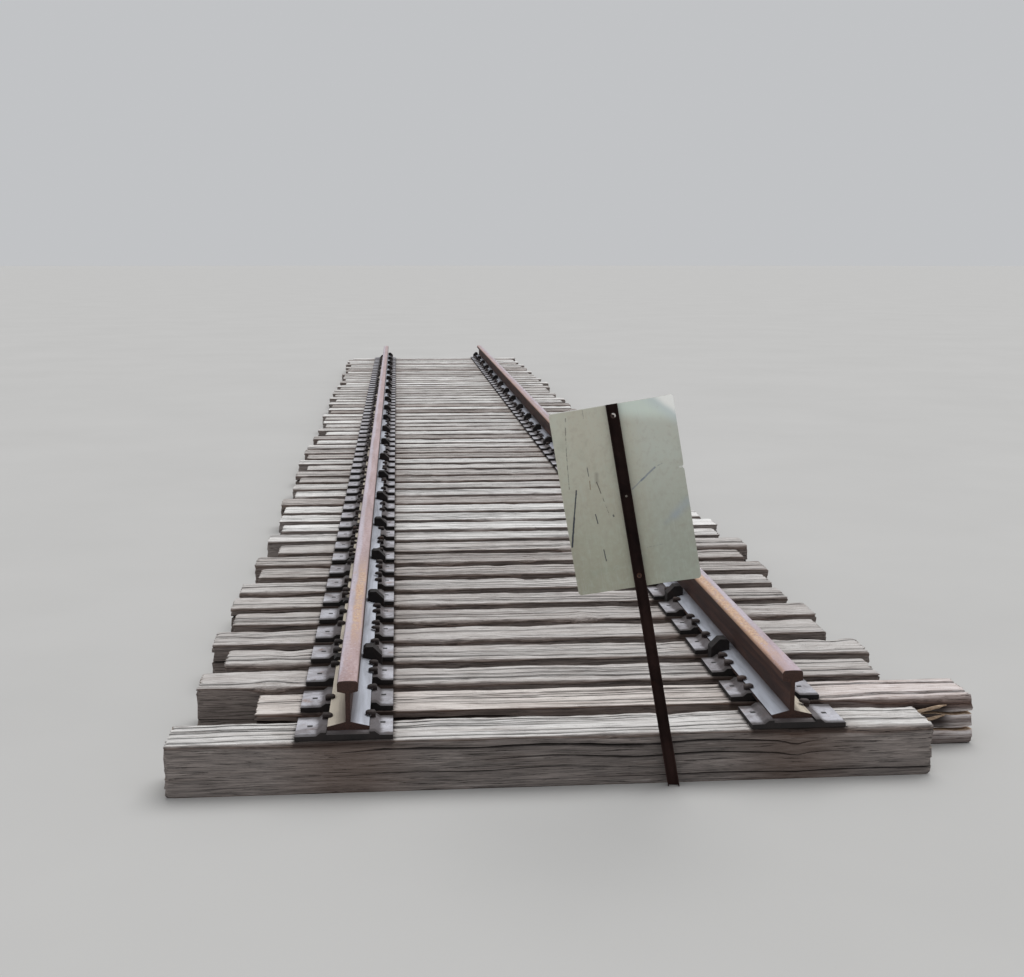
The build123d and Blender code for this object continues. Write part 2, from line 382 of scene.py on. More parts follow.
def rail_crown(s, side, across, long, speck, fleck, patch):
    """Colours of a rail's crown: part grey as a painted sheen, part pinkish brown, with a stretch
    of orange.
    """
    patch_start, patch_end, patch_left, patch_right = patch
    if side < 0:
        pink_range = (-0.45, -0.05)
        worn = s.ramp(long, [(0.3, rgb(138, 112, 109)), (0.7, rgb(168, 145, 145))])
        orange_share = 0.85
    else:
        pink_range = (0.35, -0.05)
        worn = s.ramp(long, [(0.3, rgb(154, 132, 136)), (0.7, rgb(182, 165, 175))])
        orange_share = 0.95
    # grey is a painted sheen on one side of the crown
    grey = s.ramp(long, [(0.3, rgb(160, 150, 157)), (0.6, rgb(179, 170, 179))])
    pink = s.ramp(long, [(0.3, rgb(150, 131, 130)), (0.55, rgb(166, 145, 146)),
                         (0.75, rgb(178, 162, 165))])
    top = s.tint(grey, pink, across, *pink_range)
    near = s.step(s.y, rail_start + 0.75, rail_start + 0.25)
    if side < 0:
        near = s.both(near, s.step(across, -0.95, -0.6))
    top = s.mix(s.both(near, 0.75), top, worn)
    orange = s.ramp(speck, [(0.36, rgb(134, 94, 72)), (0.48, rgb(180, 144, 116)),
                            (0.62, rgb(212, 190, 160))])
    band = s.both(s.step(across, patch_left - 0.25, patch_left + 0.15),
                  s.step(across, patch_right + 0.2, patch_right - 0.2))
    run = s.both(s.step(s.y, patch_start - 0.3, patch_start + 0.25),
                 s.step(s.y, patch_end + 0.4, patch_end - 0.3))
    rare = s.both(s.step(fleck, 0.56, 0.66), 0.35)
    grain = s.math("ADD", s.both(fleck, 0.5), s.both(speck, 0.5))
    amount = s.math("MAXIMUM", s.both(band, run, s.step(grain, 0.38, 0.52)), rare)
    top = s.mix(s.both(amount, orange_share), top, orange)
    if side > 0:
        top = s.tint(top, rgb(176, 136, 108), across, -0.7, -1.0, 0.6)
    top = s.tint(top, rgb(122, 90, 85), speck, 0.53, 0.66, 0.45)
    return s.tint(top, rgb(212, 202, 204), speck, 0.45, 0.32, 0.45)


def rail_material(name, side, crown_edge, patch):
    """Rusty rail: worn crown, flanks dark with rust and painted shade, base pale on its upward
    faces as painted light.

    The crown ends crown_edge below the top. Its orange patch has a start and an end along Y,
    and a left and a right side in halves of the head's width.
    """
    s = Shader(name)
    wander = s.noise(2.2, 5, 0.6, (4, 1, 4), 0.4, (2, 6, 1))
    scale = s.noise(260, 8, 0.75)
    long = s.noise(4, 6, 0.6, (6, 0.5, 6), 0.5)
    fleck = s.noise(22, 6, 0.7, (1, 0.45, 1), 0.5, (3, 5, 1))
    speck = s.noise(85, 5, 0.75, (1, 0.6, 1), 0.2, (8, 2, 5))
    across = s.math("DIVIDE", s.math("SUBTRACT", s.x, side * rail_x), rail_head_half)
    across = s.sway(across, wander, 0.9)
    # Flanks: dark rust, with painted shade
    flank = s.ramp(long, [(0.3, rgb(40, 25, 22)), (0.5, rgb(62, 40, 34)), (0.7, rgb(88, 58, 46))])
    crown = s.step(s.z, rail_top - crown_edge - 6 * mm, rail_top - crown_edge)
    steel = s.mix(crown, flank, rail_crown(s, side, across, long, speck, fleck, patch))
    # Painted light: the base's upward faces are pale, bluish on the gauge side
    inner = s.ramp(long, [(0.35, rgb(150, 152, 160)), (0.6, rgb(188, 192, 202))])
    outer = s.ramp(long, [(0.35, rgb(150, 140, 128)), (0.6, rgb(196, 186, 170))])
    base = s.tint(outer, inner, s.both(s.x, side), rail_x + 4 * mm, rail_x - 4 * mm)
    foot = s.step(s.z, rail_seat + 34 * mm, rail_seat + 18 * mm)
    steel = s.mix(s.both(foot, s.upward()), steel, base)
    steel = s.tint(steel, rgb(84, 52, 42), scale, 0.54, 0.72, 0.4)
    cut = s.ramp(scale, [(0.4, rgb(40, 26, 22)), (0.65, rgb(78, 50, 40))])
    steel = s.tint(steel, cut, s.y, rail_start + 3 * mm, rail_start + 1 * mm)
    s.set(Base_Color=steel, Roughness=s.math("SUBTRACT", 0.85, s.both(crown, 0.1)), Metallic=0.05)
    s.set(Normal=s.bump(s.math("ADD", scale, s.both(fleck, 0.7)), 0.45, 1.0 * mm))
    return s.material


def from_line(s, point, start, end):
    """Distance of a point from the straight line between two places on the panel."""
    run = Vector((end[0] - start[0], end[1] - start[1], 0))
    offset = s.vector_math("SUBTRACT", {0: point, 1: (start[0], start[1], 0)})
    share = s.vector_math("DOT_PRODUCT", {0: offset, 1: run / run.length_squared}, "Value")
    share = s.node("ShaderNodeClamp", {"Value": share}).outputs[0]
    back = s.vector_math("SCALE", {0: tuple(run), "Scale": share})
    return s.vector_math("DISTANCE", {0: offset, 1: back}, "Value")


def scratched(s, sheet, scratches):
    """The sheet's colour with its marks: thin ones waver, faint thin ones also break off."""
    bend = s.both(s.math("SUBTRACT", s.noise(60, 3, 0.6), 0.5), 2 * mm)
    across = s.math("ADD", s.x, bend)
    along = s.math("SUBTRACT", s.y, bend)
    point = s.node("ShaderNodeCombineXYZ", {"X": across, "Y": along}).outputs[0]
    broken = s.noise(160, 4, 0.6)
    gaps = s.noise(55, 3, 0.6, (1, 1, 1), 0, (7, 3, 1))
    widest_line = 4 * mm
    faintest_whole = 0.6
    for start, end, half, depth, colour in scratches:
        thin = s.both(s.math("ADD", broken, 0.35), half)
        past = s.math("SUBTRACT", from_line(s, point, start, end), thin)
        if half > widest_line:
            mark = s.step(past, half * 1.6, -half)
        else:
            mark = s.step(past, half * 0.45, 0)
            if depth < faintest_whole:
                mark = s.both(mark, s.step(gaps, 0.42, 0.55))
        sheet = s.mix(s.both(mark, depth), sheet, colour)
    return sheet


def panel_material(scratches):
    """Back of an aluminium sheet: dull, faintly streaked, with the knocks it has taken."""
    s = Shader("panel_back")
    haze = s.noise(3.5, 5, 0.55, (1, 0.7, 1), 0.6)
    streak = s.noise(26, 6, 0.6, (9, 0.25, 1))
    dirt = s.noise(9, 6, 0.7, (1, 1, 1), 0.5, (4, 2, 7))
    mottle = s.noise(55, 4, 0.65, (1, 0.8, 1), 0.3, (6, 1, 2))
    green = s.noise(7, 5, 0.65, (1, 1, 1), 0.6, (9, 3, 2))
    up = s.step(s.y, post_length - panel_height, post_length)

    def hazy(first, second):
        return s.ramp(haze, [(0.3, first), (0.7, second)])

    # Painted light: the sheet is lighter towards its upper edge
    warm = s.mix(up, hazy(rgb(162, 159, 142), rgb(170, 172, 154)),
                 hazy(rgb(196, 191, 174), rgb(202, 203, 188)))
    cool = s.mix(up, hazy(rgb(162, 165, 152), rgb(170, 177, 163)),
                 hazy(rgb(197, 196, 184), rgb(203, 208, 198)))
    sheet = s.tint(warm, cool, s.x, 20 * mm, 110 * mm)
    sheet = s.tint(sheet, rgb(150, 138, 130), mottle, 0.5, 0.66, 0.16)
    sheet = s.tint(sheet, rgb(190, 202, 192), mottle, 0.5, 0.36, 0.16)

    # Light along the upper edge, on the right of the post
    rise = s.math("ADD", s.both(haze, 14 * mm), s.both(s.x, 0.2))
    lit = s.step(s.math("ADD", s.y, rise), post_length - 56 * mm, post_length - 4 * mm)
    lit = s.both(lit, s.step(s.x, 8 * mm, 22 * mm), 0.95)
    sheet = s.mix(lit, sheet, rgb(222, 233, 223))
    sheet = s.tint(sheet, rgb(196, 200, 194), streak, 0.5, 0.75, 0.25)
    sheet = s.tint(sheet, rgb(158, 144, 128), dirt, 0.56, 0.75, 0.25)
    sheet = s.tint(sheet, rgb(140, 150, 134), green, 0.56, 0.75, 0.25)

    # Painted highlight on the bent corner, found along its diagonal, in the mask named worn; a thin
    # painted highlight along the upper edge
    away = s.math("ADD", s.x, s.y)
    away = s.both(s.math("SUBTRACT", away, panel_width / 2 + post_length), -0.7071)
    worn = s.sway(away, haze, 40 * mm)
    sheet = s.tint(sheet, rgb(206, 216, 220), worn, 88 * mm, 36 * mm, 0.65)
    sheet = s.tint(sheet, rgb(255, 255, 250), worn, 52 * mm, 26 * mm)
    sheet = s.tint(sheet, rgb(232, 232, 226), s.y, post_length - 2.6 * mm, post_length - 1.4 * mm)

    sheet = scratched(s, sheet, scratches)
    s.set(Base_Color=sheet, Metallic=0.3, Roughness=hazy(0.5, 0.4))
    s.set(Normal=s.bump(s.math("ADD", streak, haze), 0.12, 0.6 * mm))
    return s.material


def zinc_material():
    """Upper nut and washer: zinc with a painted highlight on the upper right, darkening to brown
    below as painted shade.
    """
    s = Shader("zinc_painted_light")
    heart = sum((Vector(c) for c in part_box("sign_nut_upper")), Vector()) / 2
    aside = s.math("SUBTRACT", s.x, heart.x)
    above = s.math("SUBTRACT", s.z, heart.z)
    slope = s.sway(s.math("ADD", aside, above), s.noise(300, 4, 0.6), 8 * mm)
    # Painted highlight towards the upper right, painted shade towards the lower left
    share = s.step(slope, -5 * mm, 6 * mm)
    zinc = s.ramp(share, [(0.1, rgb(70, 50, 42)), (0.55, rgb(140, 124, 114)),
                          (0.8, rgb(238, 232, 226))])
    s.set(Base_Color=zinc, Metallic=0.2, Roughness=0.4)
    return s.material


def face_material():
    """Front of the sign: plain white sheeting, faded and lightly crazed."""
    s = Shader("panel_front")
    fade = s.noise(4, 5, 0.6, (1, 0.6, 1), 0.5)
    craze = s.noise(180, 6, 0.8)
    dirt = s.noise(14, 6, 0.7, (6, 0.6, 1), 0.3)
    sheet = s.ramp(fade, [(0.3, rgb(206, 203, 194)), (0.7, rgb(226, 225, 220))])
    sheet = s.tint(sheet, rgb(160, 148, 128), dirt, 0.55, 0.75, 0.35)
    sheet = s.tint(sheet, rgb(140, 134, 124), craze, 0.62, 0.75, 0.3)
    s.set(Base_Color=sheet, Roughness=0.42, Normal=s.bump(craze, 0.1, 0.4 * mm))
    return s.material


tie_grey = timber_material(
    "tie_timber", rgb(236, 235, 233), rgb(200, 197, 194), rgb(110, 92, 83), rgb(28, 21, 19))
fresh_end = (
    rgb(236, 230, 229), rgb(198, 185, 180), split_tie_shift + 0.5, split_tie_shift + 0.95)
split_tie_wood = timber_material(
    "split_tie_timber", rgb(224, 218, 213), rgb(186, 177, 171), rgb(108, 83, 70), rgb(30, 20, 17),
    fresh_end, umber=rgb(84, 56, 42))
torn_wood = torn_material()
end_grain = end_grain_material()
plate_rust = plate_material()
spike_rust = rusty_material(
    "spike_rust", rgb(70, 60, 58), rgb(42, 32, 30), rgb(20, 15, 15), rgb(86, 54, 38), 0.6)
anchor_rust = rusty_material(
    "anchor_rust", rgb(46, 38, 38), rgb(26, 20, 20), rgb(12, 9, 10), rgb(58, 38, 30), 0.7)
post_rust = rusty_material(
    "post_rust", rgb(54, 34, 30), rgb(38, 22, 19), rgb(21, 11, 10), rgb(60, 34, 26), 0.6, 0.2)
zinc_painted_light = zinc_material()
nut_rust = rusty_material(
    "nut_rust", rgb(128, 92, 78), rgb(96, 66, 54), rgb(50, 33, 28), rgb(136, 88, 62), 0.6)
bolt_rust = rusty_material(
    "bolt_rust", rgb(76, 56, 48), rgb(44, 31, 27), rgb(20, 14, 13), rgb(84, 54, 40), 0.6)


# Mesh helpers
def make_object(name, vertices, faces, materials, indices=None, smooth=40):
    """A mesh object, smooth but for edges sharper than the angle smooth, in degrees."""
    mesh = bpy.data.meshes.new(name)
    mesh.from_pydata(vertices, [], faces)
    for material in materials:
        mesh.materials.append(material)
    if indices is not None:
        mesh.polygons.foreach_set("material_index", indices)
    mesh.polygons.foreach_set("use_smooth", [True] * len(faces))
    mesh.set_sharp_from_angle(angle=math.radians(smooth))
    mesh.update()
    piece = bpy.data.objects.new(name, mesh)
    bpy.context.scene.collection.objects.link(piece)
    return piece


def add_field(piece, name, values):
    field = piece.data.attributes.new(name, "FLOAT", "POINT")
    field.data.foreach_set("value", np.asarray(values, np.float32))


def numbered(rows, columns, first=0):
    """Numbers of a grid's vertices, row by row."""
    return first + np.arange(rows * columns).reshape(rows, columns)


def quads(*corners):
    """Faces of four corners, from four arrays of vertex numbers."""
    return np.stack(corners, axis=-1).reshape(-1, 4)


def tube(index):
    """Faces of a tube of rings, closed at both ends."""
    after = np.roll(index, -1, axis=1)
    walls = quads(index[:-1], after[:-1], after[1:], index[1:]).tolist()
    return walls + [index[0][::-1].tolist(), index[-1].tolist()]


def ripple(rng, scales, size, x, y=0.0):
    """Smooth random unevenness over x and y, of about the given size, the same on every run."""
    total = 0.0
    for scale in scales:
        a, b, c = scale * rng.uniform(0.7, 1.3), scale * rng.uniform(-1, 1), rng.uniform(0, 6.3)
        total = total + np.sin(x * a + y * b + c)
    return total * size / math.sqrt(len(scales))


# Ties
def crack_list(rng, count, reach, wide):
    """Drying cracks of one face: place across it, start, end, half width and depth."""
    places = (np.arange(count) + rng.uniform(0.2, 0.8, count)) / count
    cracks = []
    for place in 0.05 + 0.9 * places:
        major = rng.rand() < 0.5
        length = reach * (rng.uniform(0.45, 1.1) if major else rng.uniform(0.15, 0.6))
        start = rng.uniform(-0.25 * reach, reach - 0.6 * length)
        half = (rng.uniform(2.8, 8.5) if major else rng.uniform(0.9, 2.4)) * mm * wide
        depth = rng.uniform(10, 26) * mm if major else 9 * mm
        cracks.append((place, start, start + length, half, depth))
    return cracks


def arris(rng, x, size):
    """Radius of an upper edge along a timber: rounded by weather, with bites broken out of it."""
    radius = size * (1 + ripple(rng, (2.3, 6.1, 14.0), 0.4, x))
    for _ in range(rng.poisson(2.5)):
        middle, reach = rng.uniform(0, x[-1]), rng.uniform(0.03, 0.14)
        radius = radius + rng.uniform(0.4, 2.0) * size * np.exp(-(((x - middle) / reach) ** 2))
    return np.clip(radius, 0.4 * size, 3.4 * size)


def face_lines(rng, x, face, first, last, cracks, plain):
    """Lines of points along one face of a timber, with the painted crack shade at each point."""
    corner, way, normal, span, soft = face
    columns = [(c[0], number, role) for number, c in enumerate(cracks) for role in (-1, 0, 1)]
    room = 0.3 / plain
    columns += [(p, None, 0) for p in (np.arange(plain) + 0.5) / plain
                if all(abs(p - c[0]) > room for c in cracks)]
    columns.sort(key=lambda c: (c[0], c[2]))
    columns = [(0, None, 0)] + columns + [(1, None, 0)]
    sway = ripple(rng, (1.7, 4.1, 9.3), 5 * mm, x)
    swell = rng.randint(1 << 30)
    lines = []
    for place, number, role in columns:
        flat = span - first - last
        along = first + place * flat + soft * sway * math.sin(math.pi * place)
        swelling = np.random.RandomState(swell)
        depth = 1.2 * mm + ripple(swelling, (3.3, 8.1, 17, 31), 1.3 * mm, x, place * 3)
        depth = soft * depth
        dark = np.zeros_like(x)
        if number is None:
            depth = depth + soft * rng.uniform(0, 2.4) * mm * (0.7 + ripple(rng, (2.2, 5), 0.3, x))
        else:
            _, begin, finish, half, deep = cracks[number]
            share = np.clip((x - begin) / (finish - begin), 0, 1)
            opening = np.sin(math.pi * share) ** 0.5
            opening[(begin < 0) & (x < (begin + finish) / 2)] = 1
            opening[(finish > x[-1]) & (x > (begin + finish) / 2)] = 1
            ragged = 1 + ripple(np.random.RandomState(swell + number), (9, 21, 47), 0.28, x)
            along = along + role * (0.4 * mm + half * opening * ragged)
            # dark is the painted crack shade: full down the crack, less on its lips
            if role == 0:
                depth = depth + deep * opening
                dark = opening
            else:
                dark = opening * 0.3
        along = np.clip(along, first, span - last)
        depth = np.maximum(depth, 0)
        point = corner[None] + way[None] * along[:, None] - normal[None] * depth[:, None]
        lines.append((point, dark))
    return lines


def timber_lines(rng, x, size, detail, edge, broken):
    """Lines of points along a whole timber, with their painted crack shade and their cover: browner
    weathering with painted shade.
    """
    length, width, height = size
    w, h = width / 2, height
    corners = np.array([(-w, 0), (-w, h), (w, h), (w, 0)], float)
    ways = np.array([(0, 1), (1, 0), (0, -1), (-1, 0)], float)
    normals = np.array([(-1, 0), (0, 1), (1, 0), (0, -1)], float)
    spans = (height, width, height, width)
    lower = np.full_like(x, base_edge_radius)
    radii = [lower, arris(rng, x, edge), arris(rng, x, edge), lower]
    if broken:
        size_there, reach = broken
        radii[1] = radii[1] + size_there * np.clip((x - length + reach) / reach, 0, 1)
    # Of each side: cracks, plain lines, softness, and cover: browner weathering with painted shade
    near_side = far_side = (detail // 2, 4, 1, 0.75)
    sides = (near_side, (detail, detail + 3, 1, 0), far_side, (0, 2, 0, 1))
    # Of each rounded edge's lines: angle in degrees, and cover on the near side: browner weathering
    # with painted shade, most where it faces the camera
    edge_lines = ((22.5, 0.95), (45, 0.8), (67.5, 0.4))
    lines, shelter_and_shade = [], []
    for side, (cracked, plain, soft, cover) in enumerate(sides):
        first, last = radii[side], radii[(side + 1) % 4]
        cracks = crack_list(rng, cracked, length, 1 if side == 1 else 0.8) if cracked else []
        face = (corners[side], ways[side], normals[side], spans[side], soft)
        here = face_lines(rng, x, face, first, last, cracks, plain)
        lines += here
        shelter_and_shade += [cover] * len(here)
        if side > 1:
            continue
        turn = corners[side + 1][None] - (normals[side] + ways[side])[None] * last[:, None]
        for angle, near_cover_and_shade in edge_lines:
            angle = math.radians(angle)
            away = normals[side] * math.cos(angle) + ways[side] * math.sin(angle)
            rough = 1 + ripple(rng, (13, 29, 57), 0.07, x)
            lines.append((turn + away[None] * (last * rough)[:, None], np.zeros_like(x)))
            shelter_and_shade.append(near_cover_and_shade if side == 0 else 0.3)
    return lines, shelter_and_shade


def ragged_ends(rng, x, length, crack):
    """How far each point is pulled along the timber, so that its ends are torn, not sawn."""
    fade, cracked_pull, longest_pull = 0.02, 8 * mm, 22 * mm
    rows, columns = crack.shape
    pull = np.zeros((rows, columns))
    for direction in (1, -1):
        reach = np.exp(-(x if direction > 0 else length - x) / fade)
        torn = np.abs(ripple(rng, (0.4, 1.1, 2.3), 5 * mm, np.arange(columns)))
        cracked = crack[0 if direction > 0 else -1] > 0.9
        torn = torn + rng.exponential(2.2 * mm, columns) + cracked * cracked_pull
        pull += direction * reach[:, None] * np.minimum(torn, longest_pull)[None]
    return pull


def timber(rng, size, detail, stations, edge=arris_size, broken=None):
    """One weathered timber along X from x = 0: vertices, faces, their materials and its fields."""
    length = size[0]
    ends = np.array([0, 5, 14, 32]) * mm
    end_reach = 0.07
    even = np.linspace(end_reach, length - end_reach, stations)
    x = np.concatenate([ends, even, length - ends[::-1]])
    lines, shelter_and_shade = timber_lines(rng, x, size, detail, edge, broken)
    profile = np.stack([point for point, _ in lines], axis=1)
    crack = np.stack([dark for _, dark in lines], axis=1)
    rows, columns = crack.shape
    middle = profile.mean(axis=1, keepdims=True)
    shrink = 1 - 0.04 * np.exp(-np.minimum(x, length - x) / (8 * mm))
    profile = middle + (profile - middle) * shrink[:, None, None]
    profile[:, :, 1] = np.maximum(profile[:, :, 1], 0)
    pull = ragged_ends(rng, x, length, crack)
    grid = np.concatenate([(x[:, None] + pull)[:, :, None], profile], axis=2)

    index = numbered(rows, columns)
    after = np.roll(index, -1, axis=1)
    faces = quads(index[:-1], index[1:], after[1:], after[:-1]).tolist()
    kinds = [0] * len(faces)
    vertices = [grid.reshape(-1, 3)]
    fields = {"crack": [crack.ravel()], "shelter_and_shade": [np.tile(shelter_and_shade, rows)]}
    count = rows * columns
    for row, inward in ((0, 1), (-1, -1)):
        ring, before = grid[row], index[row]
        heart = ring.mean(axis=0)
        # Radial checks of the end faces, darkened as painted shade by the end grain's material
        split = (rng.rand(columns) < 0.12) * 0.9
        for share in (0.72, 0.36):
            dip = inward * rng.uniform(1, 5, columns) * mm
            inner = heart + (ring - heart) * share
            inner[:, 0] = ring[:, 0] * share + heart[0] * (1 - share) + dip
            here = count + np.arange(columns)
            cap = quads(before, np.roll(before, -1), np.roll(here, -1), here)
            faces += (cap if inward > 0 else cap[:, ::-1]).tolist()
            kinds += [1] * columns
            vertices.append(inner)
            fields["crack"].append(split)
            fields["shelter_and_shade"].append(np.zeros(columns))
            before = here
            count += columns
        cap = before.tolist()
        faces.append(cap if inward > 0 else cap[::-1])
        kinds.append(1)
    fields = {key: np.concatenate(values) for key, values in fields.items()}
    return np.concatenate(vertices), faces, kinds, fields


def dress_timbers(name, node, places, wood, detail, stations, seed, **shape):
    """One node's timbers as one mesh: places holds each one's middle x and y."""
    all_vertices, all_faces, all_kinds = [], [], []
    fields = {"crack": [], "shelter_and_shade": [], "stain": [], "tone": []}
    base = 0
    for number, (x, y) in enumerate(places):
        rng = np.random.RandomState(seed * 100 + number)
        size = (tie_length, tie_width * (1 if shape else rng.uniform(0.9, 1)), tie_height)
        vertices, faces, kinds, own = timber(rng, size, detail, stations, **shape)
        turn = 0 if shape else rng.uniform(-0.35, 0.35)
        across = vertices[:, 0] - tie_length / 2
        vertices[:, 1] += y + across * math.tan(math.radians(turn))
        vertices[:, 0] = across + x
        near_rail = np.abs(np.abs(vertices[:, 0]) - rail_x)
        own["stain"] = np.clip(1.3 - near_rail / 0.2, 0, 1) * 0.8
        own["tone"] = np.full(len(vertices), rng.beta(0.8, 1.3))
        for key, values in own.items():
            fields[key].append(values)
        all_vertices.append(vertices)
        all_faces += [[base + i for i in face] for face in faces]
        all_kinds += kinds
        base += len(vertices)
    vertices = np.concatenate(all_vertices).tolist()
    piece = make_object(name, vertices, all_faces, [wood, end_grain], all_kinds, 55)
    for key, values in fields.items():
        add_field(piece, key, np.concatenate(values))
    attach(piece, "root")
    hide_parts(node)
    return piece


def tie_places(bay):
    """Middles of a bay's ties, without the end tie and the split tie."""
    numbers = range(bay * ties_in_bay, (bay + 1) * ties_in_bay)
    numbers = [n for n in numbers if n not in (end_tie_number, split_tie_number)]
    return [(tie_stagger[n % len(tie_stagger)], n * tie_pitch) for n in numbers]


# Of each bay: cracks on a tie's top and points along it, fewer the farther off it lies
bay_detail = ((8, 90), (8, 80), (7, 60), (6, 44), (5, 32), (5, 28))
for bay in range(bays):
    detail, stations = bay_detail[bay]
    dress_timbers(f"weathered_ties_{bay + 1}", f"ties_bay_{bay + 1}", tie_places(bay), tie_grey,
                  detail, stations, bay + 1)
dress_timbers(
    "weathered_end_tie", "end_tie", [(end_tie_shift, 0)], tie_grey, 9, 110, end_tie_seed)
split_timber = dress_timbers(
    "opened_split_tie", "split_tie", [(split_tie_shift, split_middle)], split_tie_wood,
    9, 120, split_tie_seed, edge=split_arris_size, broken=(broken_corner, broken_length))


def split_cutter(rng, height):
    """A ragged wedge that opens the split tie from its right end, as a closed mesh."""
    along = np.linspace(-split_length, 30 * mm, 22)
    across = np.linspace(-0.53, 0.53, 9) * tie_width
    x, y = np.meshgrid(along, across, indexing="ij")
    share = (x + split_length) / split_length
    level = height + ripple(rng, (9, 23, 51), 3.5 * mm, x, y)
    half = split_mouth / 2 * share + 0.3 * mm
    half = half + np.abs(ripple(rng, (31, 73), 1.1 * mm, x, y)) * share
    start = x + (share < 0.01) * ripple(rng, (30, 70), 25 * mm, y)
    layers = [np.stack([start + split_high.x, y + split_middle, level + sign * half], axis=-1)
              for sign in (-1, 1)]
    vertices = np.concatenate([layer.reshape(-1, 3) for layer in layers])
    index = numbered(*x.shape)
    cells = quads(index[:-1, :-1], index[1:, :-1], index[1:, 1:], index[:-1, 1:])
    rim = np.concatenate([index[:, 0], index[-1, 1:], index[-2::-1, -1], index[0, -2:0:-1]])
    walls = quads(rim, np.roll(rim, -1), np.roll(rim, -1) + x.size, rim + x.size)
    faces = cells[:, ::-1].tolist() + (cells + x.size).tolist() + walls.tolist()
    return make_object("split_cutter", vertices.tolist(), faces, [torn_wood])


def cut_splits(piece):
    """Cuts the splits into the timber's mesh; the cut faces take the torn wood's material."""
    piece.data.materials.append(torn_wood)
    rng = np.random.RandomState(split_seed)
    for height in split_heights:
        cutter = split_cutter(rng, height)
        tool = piece.modifiers.new("split", "BOOLEAN")
        tool.operation = "DIFFERENCE"
        tool.solver = "EXACT"
        tool.object = cutter
        bpy.context.view_layer.objects.active = piece
        with bpy.context.temp_override(object=piece, active_object=piece):
            bpy.ops.object.modifier_apply(modifier=tool.name)
        bpy.data.objects.remove(cutter)


cut_splits(split_timber)


def sliver(rng):
    """One torn strip along X, thick in the middle and frayed: rings of points against Y = 0."""
    rings, sides = 30, 8
    along = np.linspace(-0.5, 0.5, rings)
    bulk = np.cos(along * math.pi) ** 0.3 * (1 + ripple(rng, (5, 11, 23), 0.12, along))
    bulk = np.clip(bulk, 0.12, 1)
    x = along * splinter_length
    rise = ripple(rng, (14, 37), 2 * mm, x)
    lines = []
    for angle in np.arange(sides) * 2 * math.pi / sides:
        thick = (0.5 + 0.5 * math.sin(angle)) * splinter_depth
        tall = math.cos(angle) * splinter_height / 2
        rough = 1 + ripple(rng, (40, 90, 170), 0.14, x)
        lines.append(np.stack([x, thick * bulk * rough, rise + tall * bulk * rough], axis=-1))
    return np.stack(lines, axis=1)


def slivers():
    """Two torn strips that lie against the split tie's near face."""
    rng = np.random.RandomState(sliver_seed)
    turn = Matrix.Rotation(math.radians(-splinter_angle), 3, "Y")
    vertices, faces = [], []
    for back, height in splinter_places:
        points = sliver(rng)
        faces += tube(numbered(*points.shape[:2], len(vertices)))
        place = Vector((split_high.x - back, split_low.y, height))
        for point in points.reshape(-1, 3):
            spot = turn @ Vector((point[0], 0, point[2])) + place
            vertices.append((spot.x, spot.y - max(point[1], 0), spot.z))
    piece = make_object("torn_slivers", vertices, faces, [torn_wood], smooth=60)
    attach(piece, "root")
    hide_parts("split_tie_splinters")


slivers()


# Fasteners
def spike_points():
    """A track spike: square shank under an oblong head whose lip reaches over the rail's base."""
    sides = 14
    # Of each level, in mm: height, reach, half width and shift towards the rail
    levels = (
        (0, 13, 11, 2), (2.5, 18, 14, 3), (8, 17, 14, 3), (11.5, 13, 11, 1.5), (13.5, 7, 6, 0))
    angles = np.arange(sides) * 2 * math.pi / sides
    cos, sin = np.cos(angles), np.sin(angles)
    square = (np.abs(cos) ** 6 + np.abs(sin) ** 6) ** (-1 / 6)
    rings = [np.column_stack([cos * square * reach + shift, sin * square * half,
                              np.full(sides, height)])
             for height, reach, half, shift in levels]
    faces = tube(numbered(len(levels), sides))
    shank = [(x, y, z) for z in (-24, 4) for x, y in ((-14, -8), (2, -8), (2, 8), (-14, 8))]
    index = numbered(2, 4, len(levels) * sides)
    after = np.roll(index, -1, axis=1)
    faces += quads(index[0], after[0], after[1], index[1]).tolist()
    return np.concatenate(rings + [np.array(shank)]) * mm, faces


def spikes(side, bay):
    """Rail-holding spikes of one rail in one bay: at least one each side of the base on a plate."""
    rng = np.random.RandomState(spike_seed + bay * 2 + (side > 0))
    shape, shape_faces = spike_points()
    vertices, faces = [], []
    for number in range(bay * ties_in_bay, (bay + 1) * ties_in_bay):
        for inward in (-1, 1):
            staggered = (inward if number % 2 else -inward,)
            for along in (-1, 1) if rng.rand() < 0.4 else staggered:
                y = number * tie_pitch + along * spike_along + rng.uniform(-3, 3) * mm
                if y < rail_start + 30 * mm:
                    continue
                lean = Matrix.Rotation(rng.uniform(-0.12, 0.12), 4, "Y")
                lean = lean @ Matrix.Rotation(rng.uniform(-0.08, 0.08), 4, "X")
                x = side * (rail_x - inward * (rail_base_half + spike_off_base))
                z = rail_seat + rail_base_edge + 1.5 * mm + rng.beta(1, 4) * 12 * mm
                turn = Matrix.Rotation(math.pi if side * inward < 0 else 0, 4, "Z")
                place = Matrix.Translation((x, y, z)) @ turn @ lean
                base = len(vertices)
                vertices += [place @ Vector(p) for p in shape]
                faces += [[base + i for i in f] for f in shape_faces]
    name = f"spikes_{'left' if side < 0 else 'right'}_{bay + 1}"
    piece = make_object(name, vertices, faces, [spike_rust], smooth=50)
    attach(piece, "root")


for bay in range(bays):
    for side in (-1, 1):
        spikes(side, bay)


